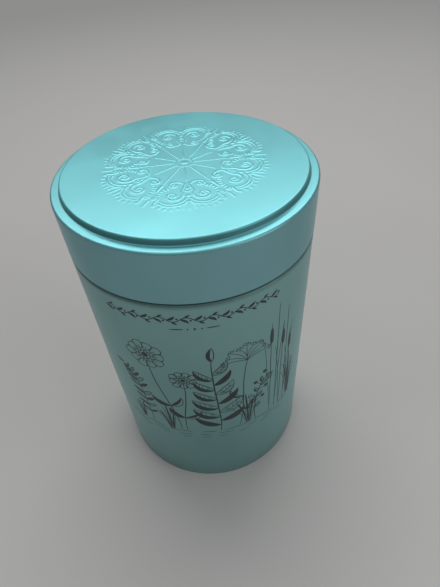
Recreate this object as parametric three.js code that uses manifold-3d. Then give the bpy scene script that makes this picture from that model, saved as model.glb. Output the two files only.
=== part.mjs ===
// A round drum tin with a deep slip-on lid, in millimetres, +Z up, standing on Z = 0.
// The origin is the centre of the ring that the tin stands on, and the front faces -Y.

import * as THREE from "three";
import { mergeVertices } from "three/addons/utils/BufferGeometryUtils.js";
import Module from "manifold-3d";

// Overall sizes

const OUTER_DIAMETER = 100.0;
const TIN_HEIGHT = 161.4;

// Lid: one drawn sheet with a raised panel, a ledge, a skirt and a hem turned inward

const LID_SHEET = 0.28;
const PANEL_RISE = 2.4;
const LEDGE_WIDTH = 3.5;
const RISER_LEAN = 0.4;
const SKIRT_DEPTH = 22.0;
const PANEL_EDGE_RADIUS = 0.7;
const RISER_FOOT_RADIUS = 0.5;
const LID_CORNER_RADIUS = 0.9;
const HEM_GAP = 0.3;
const HEM_HEIGHT = 3.0;

// Body wall: one rolled sheet with a neck under the lid and a channel at the base

const WALL_SHEET = 0.28;
const NECK_CLEARANCE = 0.3;
const SEAT_CLEARANCE = 0.3;
const LID_EDGE_GAP = 0.35;
const SHOULDER_SLOPE_DEGREES = 58;
const SHOULDER_RADIUS = 1.0;
const NECK_FILLET_RADIUS = 0.5;
const MOUTH_CURL_RADIUS = 0.9;
const MOUTH_CURL_TURN_DEGREES = 290;
const SEAM_THICKNESS = 1.7;
const SEAM_BEND_RADIUS = 0.55;
const SEAM_RETURN_HEIGHT = 2.8;
const LAP_WIDTH = 1.6;
const LAP_END_MARGIN = 1.0;

// Base plate: one pressed sheet whose rim turns down into the wall's channel

const BASE_SHEET = 0.28;
const BASE_RECESS = 3.4;
const BASE_BEND_RADIUS = 0.7;
const RIM_CLEARANCE = 0.35;
const STIFFENER_RADIUS = 38.0;
const STIFFENER_WIDTH = 1.4;
const STIFFENER_RISE = 0.8;
const STIFFENER_BEND_RADIUS = 0.6;

// Fineness of the surfaces

const SEGMENTS_AROUND = 72;
const DEGREES_PER_STEP = 30;
const CURL_STEPS = 8;
const LAP_ARC_STEPS = 2;
const FILLET_REACH_SHARE = 0.5;
const MERGE_SHARE = 0.01;

// Sizes that follow from the ones above

const OUTER_RADIUS = OUTER_DIAMETER / 2;
const LEDGE_Z = TIN_HEIGHT - PANEL_RISE;
const LID_EDGE_Z = LEDGE_Z - SKIRT_DEPTH;
const HEM_BEND_RADIUS = LID_SHEET + HEM_GAP / 2;
const HEM_INNER_RADIUS = OUTER_RADIUS - 2 * HEM_BEND_RADIUS;
const NECK_RADIUS = HEM_INNER_RADIUS - NECK_CLEARANCE;
const NECK_FOOT_Z = LID_EDGE_Z - LID_EDGE_GAP;
const MOUTH_Z = LEDGE_Z - LID_SHEET - SEAT_CLEARANCE;
const FLOOR_Z = BASE_RECESS + BASE_SHEET;

const TIN_MINT = new THREE.MeshStandardMaterial({ color: 0x8fd3cf, roughness: 0.42, metalness: 0.15 });
const BARE_TIN = new THREE.MeshStandardMaterial({ color: 0xb9bcbc, roughness: 0.35, metalness: 0.9 });

const manifold = await Module();
manifold.setup();

function corner(radius, height, bend = 0) {
  return { place: new THREE.Vector2(radius, height), bend };
}

// Points of a round bend about a centre, from one angle through a turn, both in radians.
function arc(centre, radius, start, turn, steps) {
  const points = [];
  for (let i = 0; i <= steps; i += 1) {
    const angle = start + (turn * i) / steps;
    points.push(new THREE.Vector2(Math.cos(angle), Math.sin(angle)).multiplyScalar(radius).add(centre));
  }
  return points;
}

// One corner of a path as a round bend that touches both of its straight sides.
function roundedCorner(before, at, after, bend) {
  const back = before.clone().sub(at);
  const ahead = after.clone().sub(at);
  const room = Math.min(back.length(), ahead.length()) * FILLET_REACH_SHARE;
  back.normalize();
  ahead.normalize();
  const inside = Math.acos(THREE.MathUtils.clamp(back.dot(ahead), -1, 1));
  const turn = Math.PI - inside;
  const radius = Math.min(bend, room / Math.tan(turn / 2));
  const centre = back.clone().add(ahead).normalize();
  centre.multiplyScalar(radius / Math.sin(inside / 2)).add(at);
  const first = back.clone().multiplyScalar(radius * Math.tan(turn / 2)).add(at).sub(centre);
  const side = Math.sign(back.cross(ahead));
  const steps = Math.max(1, Math.round(THREE.MathUtils.radToDeg(turn) / DEGREES_PER_STEP));
  return arc(centre, radius, first.angle(), -side * turn, steps);
}

// A path through corners, each rounded by its own bend radius.
function roundedPath(corners) {
  const points = [];
  corners.forEach(({ place, bend }, i) => {
    if (bend > 0) {
      points.push(...roundedCorner(corners[i - 1].place, place, corners[i + 1].place, bend));
    } else {
      points.push(place);
    }
  });
  return points;
}

// The path without points that lie on the one before them.
function withoutRepeats(points, sheet) {
  return points.filter((point, i) => i === 0 || point.distanceTo(points[i - 1]) > sheet * MERGE_SHARE);
}

// The other face of a sheet: each point moved by the sheet's thickness to the right of the path.
function otherFace(points, sheet) {
  return points.map((point, i) => {
    const into = point.clone().sub(points[Math.max(i - 1, 0)]).normalize();
    const out = points[Math.min(i + 1, points.length - 1)].clone().sub(point).normalize();
    const along = into.clone().add(out).normalize();
    const toRight = new THREE.Vector2(along.y, -along.x);
    const squeeze = i === 0 || i === points.length - 1 ? 1 : along.dot(into);
    return toRight.multiplyScalar(sheet / squeeze).add(point);
  });
}

// A sheet of even thickness turned about Z. Its outer face is the path, and it lies to the right of it.
function turnedSheet(path, sheet) {
  const outer = withoutRepeats(path, sheet);
  const profile = [...otherFace(outer, sheet), ...outer.toReversed()];
  if (outer[0].x > 0) {
    profile.push(profile[0].clone());
  }
  return new THREE.LatheGeometry(profile, SEGMENTS_AROUND).rotateX(Math.PI / 2);
}

function solidOf(geometry) {
  const bare = geometry.clone();
  bare.deleteAttribute("normal");
  bare.deleteAttribute("uv");
  const merged = mergeVertices(bare, WALL_SHEET * MERGE_SHARE);
  const vertProperties = new Float32Array(merged.attributes.position.array);
  const triVerts = new Uint32Array(merged.index.array);
  return new manifold.Manifold(new manifold.Mesh({ numProp: 3, vertProperties, triVerts }));
}

function geometryOf(solid) {
  const mesh = solid.getMesh();
  const geometry = new THREE.BufferGeometry();
  geometry.setAttribute("position", new THREE.BufferAttribute(mesh.vertProperties, 3));
  geometry.setIndex(new THREE.BufferAttribute(mesh.triVerts, 1));
  geometry.computeVertexNormals();
  return geometry;
}

// The lid stands in its own frame on its lower edge.
function lidGeometry() {
  const panelRadius = OUTER_RADIUS - LEDGE_WIDTH - RISER_LEAN;
  const panelZ = SKIRT_DEPTH + PANEL_RISE;
  return turnedSheet(roundedPath([
    corner(0, panelZ),
    corner(panelRadius, panelZ, PANEL_EDGE_RADIUS),
    corner(OUTER_RADIUS - LEDGE_WIDTH, SKIRT_DEPTH, RISER_FOOT_RADIUS),
    corner(OUTER_RADIUS, SKIRT_DEPTH, LID_CORNER_RADIUS),
    corner(OUTER_RADIUS, 0, HEM_BEND_RADIUS),
    corner(HEM_INNER_RADIUS, 0, HEM_BEND_RADIUS),
    corner(HEM_INNER_RADIUS, HEM_HEIGHT),
  ]), LID_SHEET);
}

// The mouth's curl runs inward, down and back towards the neck.
function mouthCurl() {
  const centre = new THREE.Vector2(NECK_RADIUS - MOUTH_CURL_RADIUS, MOUTH_Z - MOUTH_CURL_RADIUS);
  const turn = THREE.MathUtils.degToRad(MOUTH_CURL_TURN_DEGREES);
  return arc(centre, MOUTH_CURL_RADIUS, turn, -turn, CURL_STEPS);
}

function shoulderDrop() {
  return (OUTER_RADIUS - NECK_RADIUS) / Math.tan(THREE.MathUtils.degToRad(SHOULDER_SLOPE_DEGREES));
}

// Where the shoulder's slope would meet the wall, below the neck's foot.
function shoulderZ() {
  const fillet = NECK_FILLET_RADIUS * Math.tan(THREE.MathUtils.degToRad(SHOULDER_SLOPE_DEGREES) / 2);
  return NECK_FOOT_Z - fillet - shoulderDrop();
}

function wallSheet() {
  const neckTop = corner(NECK_RADIUS, MOUTH_Z - MOUTH_CURL_RADIUS);
  const below = roundedPath([
    neckTop,
    corner(NECK_RADIUS, shoulderZ() + shoulderDrop(), NECK_FILLET_RADIUS),
    corner(OUTER_RADIUS, shoulderZ(), SHOULDER_RADIUS),
    corner(OUTER_RADIUS, 0, SEAM_BEND_RADIUS),
    corner(OUTER_RADIUS - SEAM_THICKNESS, 0, SEAM_BEND_RADIUS),
    corner(OUTER_RADIUS - SEAM_THICKNESS, SEAM_RETURN_HEIGHT),
  ]);
  return turnedSheet([...mouthCurl(), ...below], WALL_SHEET);
}

// The side lap is a strip of the sheet's other end, inside the wall at the back.
function sideLap() {
  const outer = OUTER_RADIUS - WALL_SHEET / 2;
  const inner = OUTER_RADIUS - 2 * WALL_SHEET;
  const halfAngle = LAP_WIDTH / 2 / inner;
  const back = Math.PI / 2;
  const section = new THREE.Shape();
  section.absarc(0, 0, outer, back - halfAngle, back + halfAngle, false);
  section.absarc(0, 0, inner, back + halfAngle, back - halfAngle, true);
  const foot = FLOOR_Z + LAP_END_MARGIN;
  const depth = shoulderZ() - LAP_END_MARGIN - foot;
  const strip = new THREE.ExtrudeGeometry(section, { depth, bevelEnabled: false, curveSegments: LAP_ARC_STEPS });
  return strip.translate(0, 0, foot);
}

function wallGeometry() {
  return geometryOf(solidOf(wallSheet()).add(solidOf(sideLap())));
}

// The plate lies in its own frame with its underside on Z = 0, and its rim hangs below.
function baseGeometry() {
  const channelWidth = SEAM_THICKNESS - 2 * WALL_SHEET;
  const rimRadius = OUTER_RADIUS - WALL_SHEET - (channelWidth - BASE_SHEET) / 2;
  const rimFoot = WALL_SHEET + RIM_CLEARANCE - BASE_RECESS;
  return turnedSheet(roundedPath([
    corner(0, BASE_SHEET + STIFFENER_RISE),
    corner(STIFFENER_RADIUS - STIFFENER_WIDTH, BASE_SHEET + STIFFENER_RISE, STIFFENER_BEND_RADIUS),
    corner(STIFFENER_RADIUS, BASE_SHEET, STIFFENER_BEND_RADIUS),
    corner(rimRadius, BASE_SHEET, BASE_BEND_RADIUS),
    corner(rimRadius, rimFoot),
  ]), BASE_SHEET);
}

function piece(name, geometry, material, height = 0) {
  const mesh = new THREE.Mesh(geometry, material);
  mesh.name = name;
  mesh.position.z = height;
  return mesh;
}

const tin = new THREE.Group();
const drum = new THREE.Group();
drum.add(piece("body_wall", wallGeometry(), TIN_MINT));
drum.add(piece("base_plate", baseGeometry(), BARE_TIN, BASE_RECESS));
tin.add(drum);
tin.add(piece("lid", lidGeometry(), TIN_MINT, LID_EDGE_Z));

export default tin;
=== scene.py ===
"""Looks of a round slip-lid drum tin: satin enamel, an embossed lid and a line print of garden plants.

Every surface is worked out with numpy in metres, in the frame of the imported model, standing on Z = 0
with the front towards -Y. Angles round the tin count from the front towards +X.
"""

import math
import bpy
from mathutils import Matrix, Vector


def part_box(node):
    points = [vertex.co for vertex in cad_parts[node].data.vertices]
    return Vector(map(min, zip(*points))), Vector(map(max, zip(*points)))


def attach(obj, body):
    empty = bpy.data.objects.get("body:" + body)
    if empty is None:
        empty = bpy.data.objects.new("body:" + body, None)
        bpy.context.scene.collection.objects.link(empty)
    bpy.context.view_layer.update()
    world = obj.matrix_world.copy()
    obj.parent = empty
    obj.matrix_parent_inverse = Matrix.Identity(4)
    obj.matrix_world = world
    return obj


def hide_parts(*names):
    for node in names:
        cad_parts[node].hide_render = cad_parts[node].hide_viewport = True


bl_info = {
    "name": "Round Slip-Lid Tin",
    "version": (1, 0, 0),
    "blender": (4, 5, 0),
    "location": "3D View > Sidebar > Tin",
    "description": "Builds an enamelled drum tin with an embossed slip-on lid and a printed side",
    "category": "Add Mesh",
}

import bpy
import numpy as np
from bpy.props import FloatProperty, FloatVectorProperty, IntProperty, PointerProperty
from mathutils import Matrix, Vector

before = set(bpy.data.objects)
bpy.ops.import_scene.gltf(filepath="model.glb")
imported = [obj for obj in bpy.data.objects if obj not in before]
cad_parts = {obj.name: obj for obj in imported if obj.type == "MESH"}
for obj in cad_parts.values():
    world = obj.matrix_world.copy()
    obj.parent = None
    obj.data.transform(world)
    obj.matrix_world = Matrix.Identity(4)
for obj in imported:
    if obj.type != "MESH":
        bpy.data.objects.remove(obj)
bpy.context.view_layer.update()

MM = 0.001
LID_LOW, LID_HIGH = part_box("lid")
BASE_LOW, BASE_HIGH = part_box("base_plate")
WALL_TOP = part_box("body_wall")[1].z
OUTER_RADIUS = LID_HIGH.x


# Kinds of settings


def kind_of_setting(property_type, scale=1, **limits):
    """A function that makes settings of one kind from a name, a description and a default. The default is
    given in units of the scale, so lengths are written in millimetres and kept in metres."""

    def setting(name, description, value):
        return property_type(name=name, description=description, default=value * scale, **limits)

    return setting


length = kind_of_setting(FloatProperty, MM, min=0.0, unit="LENGTH", precision=5)
angle = kind_of_setting(FloatProperty, subtype="ANGLE")
share = kind_of_setting(FloatProperty, min=0.0, max=1.0, subtype="FACTOR")
power = kind_of_setting(FloatProperty, unit="POWER")
focal_length = kind_of_setting(FloatProperty, unit="CAMERA")
count = kind_of_setting(IntProperty, min=1)
colour = kind_of_setting(FloatVectorProperty, min=0.0, max=1.0, size=3, subtype="COLOR")


class TinSheetSettings(bpy.types.PropertyGroup):
    """Sizes of the three sheets. Overall sizes follow the frame."""

    sheet: length("Sheet", "Thickness of the tinplate", 0.28)
    skin: length("Skin", "Depth of the wall's surface inside the frame's radius, where the ink lies", 0.04)
    relief_height: length("Relief height", "Height of the embossing above the lid's panel", 0.14)
    ledge_width: length("Ledge width", "From the lid's outer radius to the foot of the riser", 3.5)
    ledge_flat: length("Ledge flat", "Width of the ledge's flat part, next to the riser", 1.0)
    ledge_fall: length("Ledge fall", "How much lower the ledge is at its outer edge", 0.07)
    riser_lean: length("Riser lean", "How far the riser leans inward", 0.4)
    skirt_depth: length("Skirt depth", "From the ledge to the lid's lower edge", 22.0)
    panel_bend: length("Panel bend", "Radius of the bend at the panel's edge", 0.7)
    foot_bend: length("Foot bend", "Radius of the bend at the riser's foot", 0.5)
    corner_bend: length("Corner bend", "Radius of the bend at the lid's outer corner", 0.9)
    hem_bend: length("Hem bend", "Radius of the hem's turn at the lid's lower edge", 0.43)
    hem_height: length("Hem height", "Height of the hem inside the skirt", 3.0)
    neck_clearance: length("Neck clearance", "Between the hem and the neck", 0.3)
    edge_gap: length("Edge gap", "Between the lid's lower edge and the foot of the neck", 0.35)
    slope: angle("Shoulder slope", "Lean of the shoulder from the vertical", math.radians(58))
    shoulder_bend: length("Shoulder bend", "Radius of the wall's shoulder", 1.0)
    neck_bend: length("Neck bend", "Radius of the bend at the neck's foot", 0.5)
    curl_radius: length("Curl radius", "Radius of the mouth's curl", 0.9)
    curl_turn: angle("Curl turn", "How far the mouth's curl goes round", math.radians(290))
    seam_width: length("Seam width", "Thickness of the base seam", 1.7)
    seam_bend: length("Seam bend", "Radius of the base seam's bends", 0.55)
    seam_return: length("Seam return", "Height of the inner leg of the base seam", 2.8)
    lap_width: length("Lap width", "Width of the side lap inside the wall", 1.6)
    lap_groove: length("Lap groove", "Depth of the fine groove outside at the side lap", 0.09)
    rim_bend: length("Rim bend", "Radius of the bend at the base plate's rim", 0.7)
    stiffener_radius: length("Stiffener radius", "Radius of the base plate's step", 38.0)
    stiffener_width: length("Stiffener width", "Width of the base plate's step", 1.4)
    stiffener_rise: length("Stiffener rise", "Height of the base plate's step", 0.8)


class TinReliefSettings(bpy.types.PropertyGroup):
    """Sizes of the scrollwork embossed in the lid."""

    sectors: count("Sectors", "Number of scroll groups round the lid", 6)
    ridge: length("Ridge", "Half width of the main ridges", 0.50)
    fine_ridge: length("Fine ridge", "Half width of the fine ridges", 0.36)
    reach: length("Reach", "Radius that the scrollwork reaches", 31.6)
    fine_from: length("Fine from", "Radius from which the surface has twice the columns", 13.0)
    ring_step: length("Ring step", "Spacing of the surface's rings under the relief", 0.25)
    back_ring_step: length("Back ring step", "Spacing of the rings on the lid's underside", 1.4)


class TinPrintSettings(bpy.types.PropertyGroup):
    """Sizes and colour of the line print."""

    line: length("Line", "Width of an ordinary pen line", 0.42)
    thin_line: length("Thin line", "Width of a light pen line", 0.26)
    ink: colour("Ink", "Colour of the print", (0.018, 0.030, 0.036))
    seed: count("Seed", "Seed of the hand-drawn unevenness", 7)


class TinFinishSettings(bpy.types.PropertyGroup):
    """Colours and gloss of the metal."""

    mint: colour("Mint", "Colour of the enamel", (0.180, 0.592, 0.640))
    drift: share("Drift", "How much darker the enamel is where it drifts", 0.06)
    # The skirt's and the wall's colours are duller, darker copies of the mint: painted shade for upright
    # faces that the light from above and behind leaves in shade.
    skirt_mint: colour("Skirt mint", "Colour of the enamel on the lid's skirt", (0.220, 0.465, 0.508))
    wall_mint: colour("Wall mint", "Colour of the enamel on the body wall", (0.240, 0.458, 0.450))
    # This colour is painted shade, put where shade falls: in the joint under the lid, on the lid's hem, on
    # the riser and along the wall's foot.
    crevice: colour("Crevice", "Colour of the enamel where dirt gathers in the joint", (0.030, 0.070, 0.075))
    joint_shade: share("Joint shade", "How dark the wall is just under the lid and at its foot", 0.55)
    riser_shade: share("Riser shade", "How far the riser's enamel takes the crevice's colour", 0.50)
    tinplate: colour("Tinplate", "Colour of the bare metal", (0.60, 0.61, 0.60))
    enamel_gloss: share("Enamel roughness", "Roughness of the enamel", 0.31)
    enamel_sheen: share("Enamel sheen", "How far the enamel shines in its own colour, as on bright tin", 0.62)
    edge_tint: colour("Edge tint", "Colour of the enamel's shine at a grazing angle", (0.45, 0.75, 0.78))
    coat: share("Clear coat", "Weight of the clear coat over the enamel", 0.45)
    coat_roughness: share("Clear coat roughness", "Roughness of the clear coat", 0.28)
    tinplate_gloss: share("Tinplate roughness", "Roughness of the bare metal", 0.30)


class TinStudioSettings(bpy.types.PropertyGroup):
    """Camera, lamps and floor."""

    camera_back: length("Camera back", "How far the camera stands in front of the tin's axis", 148.0)
    camera_height: length("Camera height", "Height of the camera above the floor", 238.9)
    camera_yaw: angle("Camera yaw", "Turn of the camera towards +X", 0.0643)
    camera_pitch: angle("Camera pitch", "Tilt of the camera above the horizon", -0.7858)
    camera_roll: angle("Camera roll", "Roll of the camera", -0.0765)
    lens: focal_length("Lens", "Focal length in millimetres", 26.25)
    window_watts: power("Window", "Power of the wide lamp behind", 10.2)
    ceiling_watts: power("Ceiling", "Power of the lamp overhead", 10.4)
    front_watts: power("Front", "Power of the lamp in front", 2.7)
    sky: share("Sky", "Strength of the even light all round", 0.06)
    floor: colour("Floor", "Colour of the floor", (0.62, 0.61, 0.595))
    backdrop: colour("Backdrop", "Brightness of the background as it is seen", (0.27, 0.27, 0.267))
    floor_near: length("Floor near", "Distance at which the floor starts to fade into the backdrop", 300.0)
    floor_far: length("Floor far", "Distance at which the floor has faded into the backdrop", 1200.0)
    # Painted light: a glow on the floor in front of the tin, which the tin's enamel also reflects.
    floor_front: share("Floor front", "How much paler the floor is seen in front of the tin", 0.13)
    front_near: length("Front near", "From the tin's middle forward to where the floor grows paler", 15.0)
    front_far: length("Front far", "From the tin's middle forward to where the floor is palest", 200.0)


# Curves in a plane

UP = np.array([0.0, 1.0])


def unit(vectors):
    """The vectors along the last axis, each brought to a length of 1."""
    return vectors / np.linalg.norm(vectors, axis=-1, keepdims=True)


def points_at(first, second):
    """Points with those two coordinates, of which one may be the same for all."""
    return np.stack(np.broadcast_arrays(first, second), axis=-1)


def on_circle(angles):
    """Points on the circle of radius 1, counted from the first axis towards the second."""
    return points_at(np.cos(angles), np.sin(angles))


def right_of(vectors):
    """The vectors turned clockwise by a quarter."""
    return points_at(vectors[..., 1], -vectors[..., 0])


def turned_by(direction, degrees):
    """The direction turned clockwise by that many degrees."""
    a = math.radians(degrees)
    x, y = direction
    return np.array([x * math.cos(a) + y * math.sin(a), y * math.cos(a) - x * math.sin(a)])


def arc(centre, radius, start, turn, steps):
    """Points on a circle of that radius about the centre, from the start angle through the turn."""
    return np.asarray(centre) + radius * on_circle(start + turn * np.linspace(0.0, 1.0, steps + 1))


def spiral(centre, outer, inner, start, turns, samples=120):
    """A spiral about the centre whose radius shrinks evenly in ratio from outer to inner."""
    t = np.linspace(0.0, 1.0, samples)[:, None]
    circle = on_circle(math.radians(start) + 2 * math.pi * turns * t[:, 0])
    return np.asarray(centre) + outer * (inner / outer) ** t * circle


def bezier(p0, p1, p2, p3, samples=40):
    """The cubic Bezier curve with those four control points."""
    t = np.linspace(0.0, 1.0, samples)[:, None]
    p0, p1, p2, p3 = (np.asarray(p, float) for p in (p0, p1, p2, p3))
    return (1 - t) ** 3 * p0 + 3 * (1 - t) ** 2 * t * p1 + 3 * (1 - t) * t**2 * p2 + t**3 * p3


# Sheet profiles in the plane of radius and height

BEND_STEP = math.radians(9)  # the most that a bend turns from one point to the next
SAME = 1e-6  # lengths closer than this are the same


def rounded_corner(before, at, after, bend):
    """The arc that touches both straight sides of a corner: its centre lies on the corner's bisector."""
    back, ahead = unit(before - at), unit(after - at)
    inside = math.acos(float(np.clip(back @ ahead, -1.0, 1.0)))
    turn = math.pi - inside
    room = min(np.linalg.norm(before - at), np.linalg.norm(after - at)) / 2
    radius = min(bend, room / math.tan(turn / 2))
    centre = at + unit(back + ahead) * radius / math.sin(inside / 2)
    first = at + back * radius * math.tan(turn / 2) - centre
    side = np.sign(back[0] * ahead[1] - back[1] * ahead[0])
    return arc(centre, radius, math.atan2(first[1], first[0]), -side * turn, max(2, round(turn / BEND_STEP)))


def rounded_path(*corners):
    """A path through (radius, height, bend) corners, each rounded by its own bend radius."""
    places = np.array([corner[:2] for corner in corners])
    parts = [
        rounded_corner(*places[i - 1 : i + 2], bend) if bend > 0 else places[i : i + 1]
        for i, (*_, bend) in enumerate(corners)
    ]
    path = np.vstack(parts)
    apart = np.linalg.norm(np.diff(path, axis=0), axis=1) > SAME
    return path[np.concatenate([[True], apart])]


def other_face(path, sheet):
    """The path moved by the sheet's thickness to its right, along the mitre of each point's two sides."""
    along = unit(np.diff(path, axis=0))
    into = np.vstack([along[:1], along])
    middle = unit(into + np.vstack([along, along[-1:]]))
    squeeze = np.sum(middle * into, axis=1)
    return path + right_of(middle) * (sheet / squeeze)[:, None]


def filled_in(path, longest=4.0 * MM, margin=0.3 * MM):
    """The path with more points on its long straights, and one close to each end of them."""
    parts = [path[:1]]
    for start, end in zip(path[:-1], path[1:]):
        span = float(np.linalg.norm(end - start))
        if span > 3 * margin:
            steps = max(1, math.ceil((span - 2 * margin) / longest))
            inside = np.linspace(margin / span, 1 - margin / span, steps + 1)[:, None]
            parts.append(start + (end - start) * inside)
        parts.append(end[None, :])
    return np.vstack(parts)


def bend_sharpness(path):
    """How sharply the path turns at each point, from 0 on a straight to 1 on a tight bend."""
    along = np.diff(path, axis=0)
    turn = np.abs(np.diff(np.unwrap(np.arctan2(along[:, 1], along[:, 0]))))
    return np.clip(np.concatenate([[0.0], turn, [0.0]]) / BEND_STEP, 0.0, 1.0)


def ramp(values, start, stop):
    """0 up to the start and 1 from the stop on, rising evenly between. The stop may be the smaller one."""
    return np.clip((values - start) / (stop - start), 0.0, 1.0)


# Meshes


def round_z(radius, height, angles):
    """Points carried round Z at that radius and height: x = r sin a, y = -r cos a."""
    return np.stack(np.broadcast_arrays(radius * np.sin(angles), -radius * np.cos(angles), height), axis=-1)


def even_angles(columns):
    """Even steps once round, from the front."""
    return np.linspace(0, 2 * math.pi, columns, endpoint=False)


def tube_faces(rings, columns):
    """Quads between neighbours on closed rings of vertices, which are numbered ring by ring."""
    low, column = np.arange(rings - 1)[:, None] * columns, np.arange(columns)
    high, ahead = low + columns, (column + 1) % columns
    return np.stack([low + column, low + ahead, high + ahead, high + column], axis=-1).reshape(-1, 4)


def band_faces(first, second):
    """Quads between two rings of vertices, of which one may be a pole. Where one ring has twice as many,
    each second face is a triangle, written as a quad with a corner repeated."""
    if len(first) < len(second):
        return band_faces(second, first)[:, ::-1]
    if len(second) == 1:
        second = np.full(len(first), second[0])
    if len(first) == len(second):
        return np.column_stack([first, np.roll(first, -1), np.roll(second, -1), second])
    even, odd = first[0::2], first[1::2]
    corner = np.column_stack([even, odd, second, second])
    return np.vstack([corner, np.column_stack([odd, np.roll(even, -1), np.roll(second, -1), second])])


def outward(vertices, quads):
    """The quads of a closed shell, turned round if the volume inside them comes out negative.

    Six times that volume is the sum of a . (b x c) + a . (c x d) over the quads.
    """
    a, b, c, d = (vertices[quads[:, i]] for i in range(4))
    volume = np.sum(a * np.cross(b, c)) + np.sum(a * np.cross(c, d))
    return quads[:, ::-1] if volume < 0 else quads


def placed(name, data):
    """A new object in the scene that shows the data."""
    thing = bpy.data.objects.new(name, data)
    bpy.context.scene.collection.objects.link(thing)
    return thing


def new_piece(name, vertices, quads, materials, face_materials=None, smooth=True):
    """A mesh object at the origin. Quads with a corner repeated become triangles, after all the others."""
    quads = outward(vertices, quads)
    repeated = quads == np.roll(quads, -1, axis=1)
    short = repeated.any(axis=1)
    triangles = quads[short][~repeated[short]].reshape(-1, 3)
    mesh = bpy.data.meshes.new(name)
    mesh.from_pydata(vertices.tolist(), [], quads[~short].tolist() + triangles.tolist())
    for material in materials:
        mesh.materials.append(material)
    if face_materials is not None:
        in_order = np.concatenate([face_materials[~short], face_materials[short]])
        mesh.polygons.foreach_set("material_index", in_order.astype(np.int32))
    mesh.polygons.foreach_set("use_smooth", np.full(len(quads), smooth))
    mesh.update()
    return placed(name, mesh)


def turned_sheet(name, outer, inner, rings, materials, painted_from=0, shape=None, marks=None):
    """One closed sheet: the outer face out along its path and the inner face back along its own.

    Every point of a path is carried round Z at its ring's angles, and the shape function moves the points
    of each ring. Where both faces start on the axis the ends are poles, and otherwise the profile closes on
    itself. The first material covers the outer face from the row painted_from on, and the second the rest.
    The marks are values along the profile that the finishes read, each kept as a point attribute.
    """
    profile = np.vstack([outer, inner[::-1]])
    marks = {"edge_wear": np.concatenate([bend_sharpness(outer), np.zeros(len(inner))]), **(marks or {})}
    rows, places, total = [], [], 0
    for k, (radius, height) in enumerate(profile):
        is_outside = k < len(outer)
        angles = np.zeros(1) if radius < SAME else rings(radius, height, is_outside)
        moved = 0.0 if shape is None else shape(radius, height, angles, is_outside)
        places.append(round_z(radius, height, angles) + moved)
        rows.append(total + np.arange(len(angles)))
        total += len(angles)
    following = rows[1:] + rows[:1] if profile[0, 0] > SAME else rows[1:]
    bands = [band_faces(*pair) for pair in zip(rows, following)]
    bare = [np.full(len(band), not painted_from <= k < len(outer) - 1) for k, band in enumerate(bands)]
    piece = new_piece(name, np.vstack(places), np.vstack(bands), materials, np.concatenate(bare))
    for mark, values in marks.items():
        layer = piece.data.attributes.new(mark, "FLOAT", "POINT")
        layer.data.foreach_set("value", np.repeat(values, [len(row) for row in rows]).astype(np.float32))
    return piece


# Scrollwork of the lid. Lengths here are in millimetres, u round the lid and v outward from its centre.

SAMPLE = 0.2  # spacing of the samples on a ridge's centreline


def sampled(points):
    """The polyline through the points with samples at even steps."""
    points = np.asarray(points, float)
    steps = np.linalg.norm(np.diff(points, axis=0), axis=1)
    along = np.concatenate([[0.0], np.cumsum(steps)])
    fine = np.linspace(0.0, along[-1], max(2, int(along[-1] / SAMPLE) + 1))
    return points_at(*(np.interp(fine, along, places) for places in points.T))


def ray(degrees, *radii):
    """A straight stroke from the first radius to the last, that many degrees round from the middle line."""
    return bezier(*(radius * turned_by(UP, degrees) for radius in radii))


def fan_stroke(centre, degrees, near, far):
    """The two ends of a short stroke that points away from the centre."""
    return np.asarray(centre) + np.outer((near, far), on_circle(math.radians(degrees)))


def scroll_ridges(relief):
    """Ridges of one half of a scroll group: centreline samples, half width at each, and height share."""
    main, fine, edge = relief.ridge / MM, relief.fine_ridge / MM, 180 / relief.sectors
    thread = 0.22
    volute = (5.3, 22.3)
    ridges = [
        (spiral(volute, 3.7, 0.5, 200, -1.75), main, fine, 1.0),
        (bezier((1.82, 21.03), (2.5, 19.15), (0.9, 17.8), (0.75, 15.0)), main, fine, 1.0),
        (spiral(volute, 5.0, 5.0, 155, -0.35), main, fine, 0.95),
        (spiral(volute, 6.3, 6.2, 126, -0.26), main, fine, 0.95),
        (((0.0, 22.6), (0.0, 22.9)), 0.85, 0.85, 1.0),
        (ray(0, 25.8, 27.4, 29.0, 31.2), main, fine, 1.0),
        (bezier((0.5, 26.0), (1.2, 27.0), (2.3, 28.2), (2.2, 30.5)), main, fine, 0.95),
        (bezier((0.0, 20.3), (0.4, 20.2), (0.8, 19.8), (0.9, 19.2)), fine, fine, 0.8),
        (bezier((0.0, 18.5), (0.3, 18.4), (0.5, 18.1), (0.55, 17.6)), fine, fine, 0.8),
        (bezier((1.3, 15.0), (1.8, 13.9), (3.4, 13.4), (5.0, 13.74)), fine, main, 0.95),
        (spiral((4.6, 15.6), 1.9, 0.4, -78, 1.45), main, fine, 0.95),
        (ray(edge, 3.9, 9, 12, 16.6), fine, thread, 0.8),
        (ray(edge, 17.6, 18.8, 19.8, 21.4), 0.75, fine, 1.0),
        (ray(0, 3.9, 6, 8, 12.6), fine, thread, 0.8),
        (spiral((11.4, 22.9), 1.35, 0.35, 120, 1.4), main * 0.9, fine, 1.0),
        (bezier((10.7, 24.1), (11.2, 24.9), (11.9, 25.6), (12.1, 26.6)), main, fine, 1.0),
        (ray(edge, 26.6, 27.5, 28.6, 30.6), fine, fine, 1.0),
        (spiral((0.0, 0.0), 3.0, 3.0, 90, 1.0), fine, fine, 0.8),
        (((0.0, 0.0), (0.0, 0.1)), 1.3, 1.3, 1.0),
    ]
    for degrees in (100, 84, 68, 52, 36):
        ridges.append((fan_stroke(volute, degrees, 7.2, 8.3), fine, main, 0.7))
    for degrees, far in ((-75, 5.7), (-60, 5.8), (-45, 5.5), (-30, 5.6), (-13, 5.6)):
        ridges.append((fan_stroke(volute, degrees, 4.6, far), fine, main, 0.9))
    lines = [(sampled(points), *rest) for points, *rest in ridges]
    return [(line, np.linspace(first, last, len(line)), strength) for line, first, last, strength in lines]


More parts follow.
